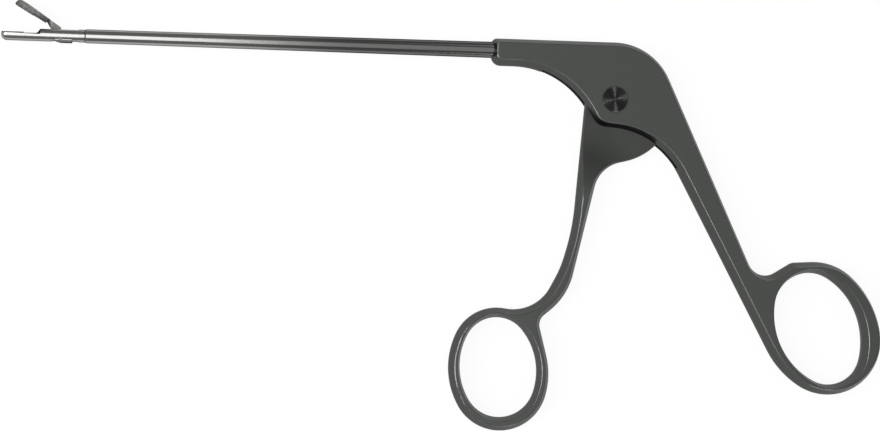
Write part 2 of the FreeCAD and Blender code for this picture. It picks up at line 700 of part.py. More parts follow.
def make_rod_ball():
    """Knob with a blind hole for the rod's neck."""
    body = new_body("rod_ball", x=f"{BALL_X}", y="sizes.shaft_height")
    radius = size("ball_radius")
    hole = size("neck_radius") + size("pin_fit")
    mouth = -math.sqrt(radius * radius - hole * hole)
    bottom = size("pin_fit")
    shapes = [
        Part.Arc(Vector(mouth, hole, 0), Vector(0, radius, 0), Vector(radius, 0, 0)),
        Part.LineSegment(Vector(radius, 0, 0), Vector(bottom, 0, 0)),
        Part.LineSegment(Vector(bottom, 0, 0), Vector(bottom, hole, 0)),
        Part.LineSegment(Vector(bottom, hole, 0), Vector(mouth, hole, 0)),
    ]
    sketch = new_sketch(body, "profile", shapes)
    turn(body, "Revolution", "knob", sketch)
    return body


def make_rod_fork():
    """Two prongs that carry the drive pin, on a round boss."""
    body = new_body("rod_fork", y="sizes.shaft_height")
    throat = DRIVE_PIN_X + size("fork_throat")
    back = throat + size("fork_boss")
    nose = size("fork_nose")
    root = throat + size("blade_root")
    past = size("overrun")
    front = throat - size("boss_overlap")
    boss = [(front, 0), (front, size("rod_radius")), (back, size("rod_radius")), (back, 0)]
    sketch = new_sketch(body, "boss", lay_out_polygon(boss))
    turn(body, "Revolution", "boss_turned", sketch)
    blade = [
        Part.Arc(Vector(DRIVE_PIN_X, -nose, 0), Vector(DRIVE_PIN_X - nose, 0, 0), Vector(DRIVE_PIN_X, nose, 0)),
        Part.LineSegment(Vector(DRIVE_PIN_X, nose, 0), Vector(root, nose, 0)),
        Part.LineSegment(Vector(root, nose, 0), Vector(root, -nose, 0)),
        Part.LineSegment(Vector(root, -nose, 0), Vector(DRIVE_PIN_X, -nose, 0)),
    ]
    sketch = new_sketch(body, "blade", blade)
    both_ways(body, "Pad", "blade_pad", sketch, f"{FORK_WIDTH}")
    gap = [(DRIVE_PIN_X - past, -past), (DRIVE_PIN_X - past, past), (throat, past), (throat, -past)]
    sketch = new_sketch(body, "gap", lay_out_polygon(gap))
    both_ways(body, "Pocket", "gap_cut", sketch, "sizes.tang_thickness + 2 * sizes.side_play")
    hole = circle_sketch(body, "pin_hole", DRIVE_PIN_X, 0, "sizes.drive_pin_radius + sizes.pin_fit")
    both_ways(body, "Pocket", "pin_hole_cut", hole, "4 * sizes.jaw_radius")
    socket = circle_sketch(body, "rod_socket", 0, 0, "sizes.rod_spigot_radius + sizes.pin_fit", "YZ_Plane",
                           back)
    one_way(body, "Pocket", "rod_socket_cut", socket, "sizes.rod_spigot_length + sizes.pin_fit")
    return body


def make_drive_pin():
    body = new_body("drive_pin", x=f"{DRIVE_PIN_X}", y="sizes.shaft_height")
    sketch = circle_sketch(body, "circle", 0, 0, "sizes.drive_pin_radius")
    both_ways(body, "Pad", "pin", sketch, f"{FORK_WIDTH}")
    return body


def make_jaw_pivot_pin():
    body = new_body("jaw_pivot_pin", x="sizes.jaw_pivot_x", y="sizes.shaft_height - sizes.jaw_pivot_drop")
    sketch = circle_sketch(body, "circle", 0, 0, "sizes.jaw_pin_radius")
    both_ways(body, "Pad", "pin", sketch, "sizes.jaw_pin_length")
    return body


# The two jaws

def jaw_blank(radius, nose, tip, back, bore_end):
    """Half profile of a round-nosed bar along the shaft axis."""
    flat = radius - nose
    lean = nose * math.sqrt(0.5)
    through = Vector(tip + nose - lean, flat + lean, 0)
    shapes = [
        Part.LineSegment(Vector(tip, 0, 0), Vector(tip, flat, 0)),
        Part.Arc(Vector(tip, flat, 0), through, Vector(tip + nose, radius, 0)),
        Part.LineSegment(Vector(tip + nose, radius, 0), Vector(back, radius, 0)),
    ]
    spigot = size("tube_bore_radius") - size("pin_fit")
    if bore_end > back:
        shapes += [
            Part.LineSegment(Vector(back, radius, 0), Vector(back, spigot, 0)),
            Part.LineSegment(Vector(back, spigot, 0), Vector(bore_end, spigot, 0)),
            Part.LineSegment(Vector(bore_end, spigot, 0), Vector(bore_end, 0, 0)),
            Part.LineSegment(Vector(bore_end, 0, 0), Vector(tip, 0, 0)),
        ]
    else:
        shapes += [
            Part.LineSegment(Vector(back, radius, 0), Vector(back, 0, 0)),
            Part.LineSegment(Vector(back, 0, 0), Vector(tip, 0, 0)),
        ]
    return shapes


def bite_line(lift):
    """Rim of the fixed jaw from the rear end of the teeth to its tip; lift raises all of it."""
    crest = size("rim_height") + lift
    pitch = size("tooth_pitch")
    start = size("teeth_start_x")
    points = [(start, crest)]
    for tooth in range(int(size("tooth_count"))):
        points.append((start - pitch * (tooth + 0.5), crest - size("tooth_depth")))
        points.append((start - pitch * (tooth + 1), crest))
    return points


def capsule(front, back, height, radius):
    """Half profile of a round-ended hollow, turned about the line at the given height."""
    return [
        Part.Arc(Vector(front, 0, 0), Vector(front + radius * (1 - math.sqrt(0.5)), radius * math.sqrt(0.5), 0),
                 Vector(front + radius, radius, 0)),
        Part.LineSegment(Vector(front + radius, radius, 0), Vector(back - radius, radius, 0)),
        Part.Arc(Vector(back - radius, radius, 0),
                 Vector(back - radius * (1 - math.sqrt(0.5)), radius * math.sqrt(0.5), 0), Vector(back, 0, 0)),
        Part.LineSegment(Vector(back, 0, 0), Vector(front, 0, 0)),
    ]


def make_fixed_jaw():
    """Distal piece: spigot, clevis cheeks, pad under the jaw pin and the fixed lower jaw."""
    body = new_body("fixed_jaw", y="sizes.shaft_height")
    tip, seam = size("tip_x"), size("seam_x")
    past, edge = size("overrun"), size("edge_break")
    far = size("jaw_radius") + past
    spigot_end = seam + size("spigot_length")
    blank = new_sketch(body, "blank", jaw_blank(size("jaw_radius"), size("tip_round"), tip, seam, spigot_end))
    turn(body, "Revolution", "blank_turned", blank)
    pad = [
        (size("pad_front_x"), size("pad_root") - size("jaw_radius")), (size("pad_front_x"), 0),
        (size("pad_back_x"), 0), (size("pad_back_x"), edge - size("pad_drop")),
        (size("pad_back_x") - edge, -size("pad_drop")), (size("pad_front_x") + size("pad_lead"), -size("pad_drop")),
    ]
    sketch = new_sketch(body, "pad", lay_out_polygon(pad))
    both_ways(body, "Pad", "pad_block", sketch, "sizes.pad_width")
    cheek = size("cheek_foot_x")
    mouth = [(tip - past, far), (cheek + size("cheek_lean"), far), (cheek + size("cheek_lean"), size("jaw_radius")),
             (cheek, size("rim_height")), (cheek - size("cheek_toe"), size("rim_back_height")),
             (size("teeth_start_x"), size("rim_back_height"))]
    mouth += bite_line(0.0)
    mouth += [(tip - past, size("rim_height"))]
    sketch = new_sketch(body, "mouth", lay_out_polygon(mouth))
    both_ways(body, "Pocket", "mouth_cut", sketch, "sizes.handle_thickness")
    trough = capsule(tip + size("trough_front"), size("trough_back_x"), 0, size("trough_radius"))
    sketch = new_sketch(body, "trough", trough, shift=size("trough_height"))
    turn(body, "Groove", "trough_cut", sketch)
    clevis = [
        (size("clevis_front_x"), far), (size("clevis_back_x"), far), (size("clevis_back_x"), -far),
        (size("clevis_floor_x") + size("clevis_floor_lean"), -far),
        (size("clevis_floor_x"), -size("clevis_floor_drop")),
        (size("clevis_front_x"), 0),
    ]
    sketch = new_sketch(body, "clevis", lay_out_polygon(clevis))
    both_ways(body, "Pocket", "clevis_cut", sketch, f"{CLEVIS_WIDTH}")
    bore = circle_sketch(body, "rod_bore", 0, 0, "sizes.jaw_bore_radius", "YZ_Plane", spigot_end)
    bore_front = DRIVE_PIN_X - ROD_TRAVEL + size("fork_throat") - size("boss_overlap") - size("end_gap")
    one_way(body, "Pocket", "rod_bore_cut", bore, f"{spigot_end - bore_front}")
    hole = circle_sketch(body, "pin_hole", size("jaw_pivot_x"), -size("jaw_pivot_drop"),
                         "sizes.jaw_pin_radius + sizes.pin_fit")
    both_ways(body, "Pocket", "pin_hole_cut", hole, "sizes.handle_thickness")
    return body


def cam_path(share):
    """Drive pin as seen from the closed jaw, with share 0 at the open end and 1 at the closed end."""
    back = size("drive_pin_lead") + ROD_TRAVEL * (1 - share)
    return turned(back, size("jaw_pivot_drop"), size("jaw_travel") * (1 - share))


def cam_slot():
    """Slot along the drive pin's path, bent as one arc, with round ends."""
    over = size("cam_overrun") / ROD_TRAVEL
    a, m, b = (Vector(*cam_path(share), 0) for share in (-over, 0.5, 1 + over))
    arc = Part.Arc(a, m, b)
    centre = arc.toShape().Curve.Center
    half = CAM_HALF_WIDTH

    def beside(point, offset):
        ray = (point - centre).normalize()
        return point + ray * offset

    def past(point, sign):
        ray = (point - centre).normalize()
        along = Vector(-ray.y, ray.x, 0) * sign
        return point + along * half

    sense = 1 if (b - a).cross(a - centre).z < 0 else -1
    return [
        Part.Arc(beside(a, half), beside(m, half), beside(b, half)),
        Part.Arc(beside(b, half), past(b, sense), beside(b, -half)),
        Part.Arc(beside(b, -half), beside(m, -half), beside(a, -half)),
        Part.Arc(beside(a, -half), past(a, -sense), beside(a, half)),
    ]


def make_upper_jaw():
    """Moving jaw drawn closed about its pin, then turned open; its tang carries the cam slot."""
    body = new_body("upper_jaw", x="sizes.jaw_pivot_x", y="sizes.shaft_height - sizes.jaw_pivot_drop")
    body.setExpression("Placement.Rotation.Angle", "-sizes.jaw_travel")
    pin_x, drop = size("jaw_pivot_x"), size("jaw_pivot_drop")
    radius = size("upper_radius")
    axis = drop + size("upper_height")
    tip = size("upper_tip_x") - pin_x
    cheek = size("cheek_foot_x") - size("cheek_gap") - pin_x
    top = cheek + size("cheek_lean")
    back = top + size("upper_back_reach")
    end = back + size("upper_back_lean")
    profile = jaw_blank(radius, size("upper_tip_round"), tip, end, end)
    blank = new_sketch(body, "blank", profile, shift=axis)
    turn(body, "Revolution", "blank_turned", blank)
    below = [(x - pin_x, y + drop) for x, y in bite_line(size("bite_gap"))]
    crest = size("rim_height") + size("bite_gap") + drop
    over = drop + size("jaw_radius") + size("cheek_gap")
    past = size("overrun")
    high, low = axis + radius + past, axis - radius - past
    cut = [(tip - past, low), (tip - past, crest)] + below[::-1]
    cut += [(cheek, crest), (top, over), (back, over), (end, high), (end + past, high), (end + past, low)]
    sketch = new_sketch(body, "underside", lay_out_polygon(cut))
    both_ways(body, "Pocket", "underside_cut", sketch, "sizes.handle_thickness")
    hollow = capsule(tip + size("trough_front"), size("trough_back_x") - pin_x, 0, size("roof_hollow_radius"))
    sketch = new_sketch(body, "hollow", hollow, shift=drop + size("roof_hollow_height"))
    turn(body, "Groove", "hollow_cut", sketch)
    root, corner = size("tang_root_round"), size("tang_back_round")
    cam_x, cam_y = cam_path(0)
    tang = [
        (size("tang_root_x") - pin_x, axis + radius - size("tang_root_depth"), root),
        (size("tang_back_x") - pin_x, drop + size("tang_back_height"), corner),
        (cam_x, cam_y, CAM_HALF_WIDTH + size("cam_wall")),
        (0, 0, size("jaw_pin_radius") + size("hub_wall")),
        (size("tang_heel_x") - pin_x, drop + size("tang_heel_height"), corner),
    ]
    sketch = new_sketch(body, "tang", lay_out_round(tang))
    both_ways(body, "Pad", "tang_pad", sketch, "sizes.tang_thickness")
    sketch = new_sketch(body, "cam", cam_slot())
    both_ways(body, "Pocket", "cam_cut", sketch, "sizes.handle_thickness")
    hole = circle_sketch(body, "pin_hole", 0, 0, "sizes.jaw_pin_radius + sizes.running_play")
    both_ways(body, "Pocket", "pin_hole_cut", hole, "sizes.handle_thickness")
    return body


PIECES = [
    make_rear_handle(),
    make_front_handle(),
    make_pivot_pin(),
    make_shaft_tube(),
    make_rod_guide_bush(),
    make_drive_rod(),
    make_rod_ball(),
    make_rod_fork(),
    make_drive_pin(),
    make_fixed_jaw(),
    make_upper_jaw(),
    make_jaw_pivot_pin(),
]
doc.recompute()

# Nothing is written unless every object and every piece is sound
for item in doc.Objects:
    if any(word in item.State for word in ("Invalid", "Error")):
        raise RuntimeError(f"{item.Label} failed: {item.State}")
for piece in PIECES:
    if piece.Shape.isNull() or not piece.Shape.isValid() or len(piece.Shape.Solids) != 1:
        raise RuntimeError(f"{piece.Label} isn't one valid solid")

os.makedirs("parts", exist_ok=True)
for piece in PIECES:
    piece.Shape.exportStep(f"parts/{piece.Label}.step")
    box = piece.Shape.BoundBox
    print(f"{piece.Label}: {piece.Shape.Volume:.1f} mm3, x {box.XMin:.2f} to {box.XMax:.2f}, "
          f"y {box.YMin:.2f} to {box.YMax:.2f}, z {box.ZMin:.2f} to {box.ZMax:.2f}")
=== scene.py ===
# %% [markdown]
# # Loose body grasper: the looks
# This lesson dresses a small surgical hand instrument that lies on a white table.
# Its solid shapes come ready made, so the work here is mostly finish: how each steel was made, and how
# a photographer would light it. Two pieces are modelled: the turned face of the pivot pin, and a copy
# of the moving jaw that is filed to the line of its back.

# %% Tools and the ready-made solids
import math
import bpy
from mathutils import Matrix, Vector


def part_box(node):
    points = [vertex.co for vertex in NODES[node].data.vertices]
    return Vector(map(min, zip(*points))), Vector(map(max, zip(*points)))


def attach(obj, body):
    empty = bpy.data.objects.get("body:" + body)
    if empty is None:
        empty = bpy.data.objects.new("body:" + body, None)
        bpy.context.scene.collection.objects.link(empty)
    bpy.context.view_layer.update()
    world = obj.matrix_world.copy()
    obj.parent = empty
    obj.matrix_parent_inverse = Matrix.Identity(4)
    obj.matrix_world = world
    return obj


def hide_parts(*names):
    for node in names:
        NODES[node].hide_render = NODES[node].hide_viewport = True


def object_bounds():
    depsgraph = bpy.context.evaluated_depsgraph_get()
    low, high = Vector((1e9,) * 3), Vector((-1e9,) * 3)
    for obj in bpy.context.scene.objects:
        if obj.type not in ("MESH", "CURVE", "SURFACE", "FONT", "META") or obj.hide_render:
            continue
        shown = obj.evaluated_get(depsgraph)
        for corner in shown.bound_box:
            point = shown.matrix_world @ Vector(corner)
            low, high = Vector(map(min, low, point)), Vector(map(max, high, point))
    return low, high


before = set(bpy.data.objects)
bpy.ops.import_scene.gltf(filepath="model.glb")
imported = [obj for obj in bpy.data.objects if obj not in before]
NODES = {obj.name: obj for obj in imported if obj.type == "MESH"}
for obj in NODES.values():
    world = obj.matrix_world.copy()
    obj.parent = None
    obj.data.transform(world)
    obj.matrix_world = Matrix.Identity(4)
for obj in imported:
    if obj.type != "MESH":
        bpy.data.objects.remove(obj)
CAD_LOW, CAD_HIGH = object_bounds()
print("pieces loaded:", sorted(NODES))

# %% [markdown]
# ## Lengths and patterns
# Patterns and new pieces are placed by the ready-made solids, so the places that many of them use are
# read from those first. A noise pattern nominally runs from 0 to 1 but seldom leaves its middle part,
# so a range that is driven by one starts and ends there.

# %% Lengths and patterns
MM = 0.001          # the scene is in metres, and the instrument's sizes are told in millimetres
NOISE_LOW, NOISE_HIGH = 0.3, 0.7
FACE_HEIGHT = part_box("rear_handle")[1].z
SHAFT_MIDDLE = (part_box("shaft_tube")[0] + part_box("shaft_tube")[1]) / 2
print("upper face of the handles at", round(FACE_HEIGHT / MM, 2), "mm")

# %% [markdown]
# ## The camera
# The picture was taken from about half a metre above the table, a little to the left of the handles,
# so the left walls of the handles and the inner right walls of the finger rings can be seen.
# A long lens keeps the shaft straight. The three columns of the matrix are the camera's own right,
# up and backward directions, which is the plainest way to repeat a known view.

# %% Camera
PHOTO_WIDTH = 880
FOCAL_PIXELS = 1983
camera_data = bpy.data.cameras.new("copy_stand_camera")
camera_data.sensor_width = 36
camera_data.lens = camera_data.sensor_width * FOCAL_PIXELS / PHOTO_WIDTH
camera = bpy.data.objects.new("copy_stand_camera", camera_data)
bpy.context.scene.collection.objects.link(camera)
camera_axes = Matrix((
    (0.99426, -0.02462, -0.10409),
    (0.01942, 0.99853, -0.05065),
    (0.10519, 0.04834, 0.99328),
))
camera.matrix_world = Matrix.Translation((-0.101546, -0.059131, 0.531015)) @ camera_axes.to_4x4()
bpy.context.scene.camera = camera
print("lens:", round(camera_data.lens, 1), "mm")

# %% [markdown]
# ## Two small helpers
# Colours are chosen as hex values, as in any paint program, but shaders work with linear light,
# so one function turns one into the other. The other adds a shader node with its settings and links.

# %% Colour and node helpers
def colour(hex_value):
    """Linear colour with alpha of an sRGB hex value such as "#484a48"."""
    channels = [int(hex_value[i:i + 2], 16) / 255 for i in (1, 3, 5)]
    linear = [c / 12.92 if c <= 0.04045 else ((c + 0.055) / 1.055) ** 2.4 for c in channels]
    return (*linear, 1.0)


def add_node(tree, kind, inputs=None, **settings):
    """A node of one kind, with its own settings, and with its inputs set to values or linked to sockets."""
    node = tree.nodes.new(kind)
    for name, value in settings.items():
        setattr(node, name, value)
    for name, value in (inputs or {}).items():
        if isinstance(value, bpy.types.NodeSocket):
            tree.links.new(value, node.inputs[name])
        else:
            node.inputs[name].default_value = value
    return node


def empty_material(name):
    material = bpy.data.materials.new(name)
    material.use_nodes = True
    material.node_tree.nodes.clear()
    return material, material.node_tree


print("mid grey is", [round(c, 3) for c in colour("#808080")[:3]])

# %% [markdown]
# ## Blasted dark steel, for the two handles
# The handles are forged stainless steel, blasted with fine beads and then darkened, so that they
# don't dazzle under the theatre lamp. The eye sees an even charcoal grey, a soft sheen, and a very
# fine grain. The beads leave dimples of about 0.05 mm. That is far under one pixel here, so they are
# drawn 0.35 mm wide. The thin tongue, which turns between the cheeks below the outer faces, is painted
# darker, as painted shade under the cheeks, and the sloping sides are painted a little lighter, as
# painted light. The rounded edges are lighter and smoother, partly edge wear and partly a painted
# highlight that draws thin bright lines; they are found by how far they tilt from level. Seen along a
# wall, a coated metal mirrors less than a bare one, which is what the grey specular tint says.

# %% Blasted dark steel
BEAD_GRAIN = 0.35 * MM
BEAD_DEPTH = 0.02 * MM
HANDLING_PATCH = 14 * MM
TONGUE_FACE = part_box("pivot_pin")[1].z - 2.5 * MM
PAINTED_LIGHT_FADE = 0.6 * MM                     # the lighter tone above the painted shade on the tongue is full this far below the outer face
LEVEL, SLOPING = 0.98, 0.7              # upward part of the normal on a level face and on a slope
EDGE_TILT, EDGE_SPREAD = 0.73, 0.2      # the same on a rounded edge, and how far it may differ


def blasted_dark_steel():
    material, tree = empty_material("blasted_dark_steel")
    where = add_node(tree, "ShaderNodeTexCoord")
    place = where.outputs["Object"]
    beads = add_node(tree, "ShaderNodeTexNoise", {
        "Vector": place, "Scale": 1 / BEAD_GRAIN, "Detail": 2.0, "Roughness": 0.6})
    patches = add_node(tree, "ShaderNodeTexNoise", {
        "Vector": place, "Scale": 1 / HANDLING_PATCH, "Detail": 3.0, "Roughness": 0.5})
    height = add_node(tree, "ShaderNodeSeparateXYZ", {"Vector": place})
    # painted shade: low on the tongue under the cheeks the coat is darker, high on the outer faces lighter
    painted_light_mask = add_node(tree, "ShaderNodeMapRange", {
        "Value": height.outputs["Z"], "From Min": TONGUE_FACE, "From Max": FACE_HEIGHT - PAINTED_LIGHT_FADE},
        interpolation_type="SMOOTHSTEP")
    facing = add_node(tree, "ShaderNodeSeparateXYZ", {"Vector": where.outputs["Normal"]})
    # painted light: the sloping sides are drawn lighter
    sloping = add_node(tree, "ShaderNodeMapRange", {
        "Value": facing.outputs["Z"], "From Min": LEVEL, "From Max": SLOPING})
    painted_light_share = add_node(tree, "ShaderNodeMath", {
        0: painted_light_mask.outputs["Result"], 1: sloping.outputs["Result"]}, operation="MAXIMUM")
    # dark colour: painted shade on the tongue; light colour: outer faces and painted light on the slopes
    painted_shade_and_light_coat = add_node(tree, "ShaderNodeMix", {
        "Factor": painted_light_share.outputs[0], "A": colour("#22231f"), "B": colour("#545654")}, data_type="RGBA")
    patched = add_node(tree, "ShaderNodeMix", {
        "Factor": patches.outputs["Fac"], "A": painted_shade_and_light_coat.outputs["Result"], "B": colour("#565856")},
        data_type="RGBA")
    grained = add_node(tree, "ShaderNodeMix", {
        "Factor": beads.outputs["Fac"], "A": colour("#464846"), "B": patched.outputs["Result"]},
        data_type="RGBA")
    # edge wear and painted highlight: rounded edges are lighter, drawing thin bright lines
    edge = add_node(tree, "ShaderNodeMath", {
        0: facing.outputs["Z"], 1: EDGE_TILT, 2: EDGE_SPREAD}, operation="COMPARE")
    wear_and_painted_highlight = add_node(tree, "ShaderNodeMix", {
        "Factor": edge.outputs[0], "A": grained.outputs["Result"], "B": colour("#767876")},
        data_type="RGBA")
    sheen = add_node(tree, "ShaderNodeMapRange", {
        "Value": patches.outputs["Fac"], "From Min": NOISE_LOW, "From Max": NOISE_HIGH,
        "To Min": 0.32, "To Max": 0.4})
    smooth = add_node(tree, "ShaderNodeMix", {
        "Factor": edge.outputs[0], "A": sheen.outputs["Result"], "B": 0.3})
    dimples = add_node(tree, "ShaderNodeBump", {
        "Height": beads.outputs["Fac"], "Strength": 0.12, "Distance": BEAD_DEPTH})
    metal = add_node(tree, "ShaderNodeBsdfPrincipled", {
        "Base Color": wear_and_painted_highlight.outputs["Result"], "Metallic": 1.0, "Roughness": smooth.outputs["Result"],
        "Specular Tint": colour("#d6d6d6"), "Normal": dimples.outputs["Normal"]})
    add_node(tree, "ShaderNodeOutputMaterial", {"Surface": metal.outputs["BSDF"]})
    return material


DARK_STEEL = blasted_dark_steel()
print("made", DARK_STEEL.name)

# %% [markdown]
# ## Polished tube steel, for the shaft
# The tube is drawn and then polished lengthwise. Polishing lines run along it, about 0.02 mm apart;
# here they are drawn 0.15 mm apart and very shallow. What the eye reads as polish is the sharp white
# band of the lamp between two darker stripes, so the shine must stay high and the lines faint. The
# half towards the handles is drawn a shade darker.

# %% Polished tube steel
POLISH_LINE = 0.15 * MM
POLISH_LENGTH = 12 * MM
POLISH_DEPTH = 0.01 * MM
DARKER_FROM = SHAFT_MIDDLE.x + 12 * MM
LIGHTER_TO = SHAFT_MIDDLE.x - 28 * MM


def polished_tube_steel():
    material, tree = empty_material("polished_tube_steel")
    place = add_node(tree, "ShaderNodeTexCoord").outputs["Object"]
    drawn_out = add_node(tree, "ShaderNodeMapping", {
        "Vector": place, "Scale": (1 / POLISH_LENGTH, 1 / POLISH_LINE, 1 / POLISH_LINE)})
    lines = add_node(tree, "ShaderNodeTexNoise", {
        "Vector": drawn_out.outputs["Vector"], "Scale": 1.0, "Detail": 2.0, "Roughness": 0.5})
    tone = add_node(tree, "ShaderNodeMix", {
        "Factor": lines.outputs["Fac"], "A": colour("#9a9a99"), "B": colour("#aaaaa8")},
        data_type="RGBA")
    spot = add_node(tree, "ShaderNodeSeparateXYZ", {"Vector": place})
    # the half towards the handles is drawn a shade darker
    towards_handle = add_node(tree, "ShaderNodeMapRange", {
        "Value": spot.outputs["X"], "From Min": LIGHTER_TO, "From Max": DARKER_FROM},
        interpolation_type="SMOOTHSTEP")
    faded = add_node(tree, "ShaderNodeMix", {
        "Factor": towards_handle.outputs["Result"], "A": tone.outputs["Result"], "B": colour("#6e6e6d")},
        data_type="RGBA")
    shine = add_node(tree, "ShaderNodeMapRange", {
        "Value": lines.outputs["Fac"], "From Min": NOISE_LOW, "From Max": NOISE_HIGH,
        "To Min": 0.13, "To Max": 0.2})
    scratches = add_node(tree, "ShaderNodeBump", {
        "Height": lines.outputs["Fac"], "Strength": 0.06, "Distance": POLISH_DEPTH})
    metal = add_node(tree, "ShaderNodeBsdfPrincipled", {
        "Base Color": faded.outputs["Result"], "Metallic": 1.0, "Roughness": shine.outputs["Result"],
        "Specular Tint": colour("#4a4a4a"), "Normal": scratches.outputs["Normal"]})
    add_node(tree, "ShaderNodeOutputMaterial", {"Surface": metal.outputs["BSDF"]})
    return material


TUBE_STEEL = polished_tube_steel()
print("made", TUBE_STEEL.name)

# %% [markdown]
# ## Eroded jaw steel, for the moving jaw and the rod's fork
# The moving jaw and the fork are cut by a spark, which leaves a matt, slightly pitted grey skin.
# Only the rims get touched by a file. The pits are about 0.02 mm; they are drawn 0.15 mm wide, with
# broader clouds of tone over them, because a worn jaw is never one even grey. The blade's back is
# rubbed light, and its flank darkens towards the teeth, where nothing rubs it. The flat tang, which
# turns between the cheeks, isn't rubbed either.

# %% Eroded jaw steel
PIT = 0.15 * MM
PIT_DEPTH = 0.02 * MM
WEAR_CLOUD = 0.9 * MM
CLOUD_LOW, CLOUD_HIGH = 0.35, 0.65
BLADE_TILT = math.radians(31)        # the blade stands this far open in the ready-made model
TOWARDS_BACK = Vector((math.sin(BLADE_TILT), math.cos(BLADE_TILT), 0))
JAW_HINGE = (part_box("jaw_pivot_pin")[0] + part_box("jaw_pivot_pin")[1]) / 2
TOOTH_LINE = JAW_HINGE.dot(TOWARDS_BACK) + 1.6 * MM
# the painted highlight on the blade's back starts and is full at these distances across the blade
PAINTED_LIGHT_FROM = TOOTH_LINE + 0.2 * MM
PAINTED_LIGHT_TO = TOOTH_LINE + 0.6 * MM


def eroded_jaw_steel():
    material, tree = empty_material("eroded_jaw_steel")
    where = add_node(tree, "ShaderNodeTexCoord")
    place = where.outputs["Object"]
    pits = add_node(tree, "ShaderNodeTexNoise", {
        "Vector": place, "Scale": 1 / PIT, "Detail": 3.0, "Roughness": 0.65})
    clouds = add_node(tree, "ShaderNodeTexNoise", {
        "Vector": place, "Scale": 1 / WEAR_CLOUD, "Detail": 2.0, "Roughness": 0.5})
    patchy = add_node(tree, "ShaderNodeMapRange", {
        "Value": clouds.outputs["Fac"], "From Min": CLOUD_LOW, "From Max": CLOUD_HIGH})
    across = add_node(tree, "ShaderNodeVectorMath", {0: place, 1: TOWARDS_BACK}, operation="DOT_PRODUCT")
    # painted highlight on the blade's back, on sloping and rounded faces only
    painted_light_mask = add_node(tree, "ShaderNodeMapRange", {
        "Value": across.outputs["Value"], "From Min": PAINTED_LIGHT_FROM, "From Max": PAINTED_LIGHT_TO},
        interpolation_type="SMOOTHSTEP")
    facing = add_node(tree, "ShaderNodeSeparateXYZ", {"Vector": where.outputs["Normal"]})
    rounded = add_node(tree, "ShaderNodeMath", {0: facing.outputs["Z"], 1: LEVEL}, operation="LESS_THAN")
    lightened = add_node(tree, "ShaderNodeMath", {
        0: painted_light_mask.outputs["Result"], 1: rounded.outputs[0]}, operation="MULTIPLY")
    # flank colours: painted shade towards the teeth; back colours: painted highlight
    flank = add_node(tree, "ShaderNodeMix", {
        "Factor": patchy.outputs["Result"], "A": colour("#464645"), "B": colour("#7e7e7c")},
        data_type="RGBA")
    back = add_node(tree, "ShaderNodeMix", {
        "Factor": patchy.outputs["Result"], "A": colour("#a0a09e"), "B": colour("#d6d6d4")},
        data_type="RGBA")
    cloudy = add_node(tree, "ShaderNodeMix", {
        "Factor": lightened.outputs[0], "A": flank.outputs["Result"], "B": back.outputs["Result"]},
        data_type="RGBA")
    pitted = add_node(tree, "ShaderNodeMix", {
        "Factor": pits.outputs["Fac"], "A": colour("#5a5a58"), "B": cloudy.outputs["Result"]},
        data_type="RGBA")
    skin = add_node(tree, "ShaderNodeBump", {
        "Height": pits.outputs["Fac"], "Strength": 0.35, "Distance": PIT_DEPTH})
    metal = add_node(tree, "ShaderNodeBsdfPrincipled", {
        "Base Color": pitted.outputs["Result"], "Metallic": 1.0, "Roughness": 0.42,
        "Specular Tint": colour("#8c8c8c"), "Normal": skin.outputs["Normal"]})
    add_node(tree, "ShaderNodeOutputMaterial", {"Surface": metal.outputs["BSDF"]})
    return material


MOVING_JAW_STEEL = eroded_jaw_steel()
print("made", MOVING_JAW_STEEL.name)

# %% [markdown]
# ## Hand-polished steel, for the fixed jaw
# The fixed jaw carries on the tube's line, so it's polished with it, but by hand and across the
# grain. It shows the same white band with a rougher edge. At the seam a dark line of painted shade is
# drawn in the corner, which is how the eye tells the two pieces apart. The cut rim along the top is
# painted dark, as painted shade, and the pad under the jaw pin keeps its dull milled skin.

# %% Hand-polished steel
FILE_LINE = 0.12 * MM
FILE_STRETCH = 0.15         # lines along the jaw are this much less close than across it
FILE_DEPTH = 0.01 * MM
SEAM_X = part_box("shaft_tube")[0].x
SEAM_WIDTH = 0.45 * MM
RIM_BACK = -152.8 * MM
RIM_FALL = 0.03             # the rim drops by this share of its length towards the hinge
RIM_LOW = SHAFT_MIDDLE.y - 0.07 * MM + RIM_FALL * RIM_BACK
PAD_MIDDLE = -146.8 * MM
PAD_HALF = 2.2 * MM
PAD_TOP = SHAFT_MIDDLE.y - 1.3 * MM


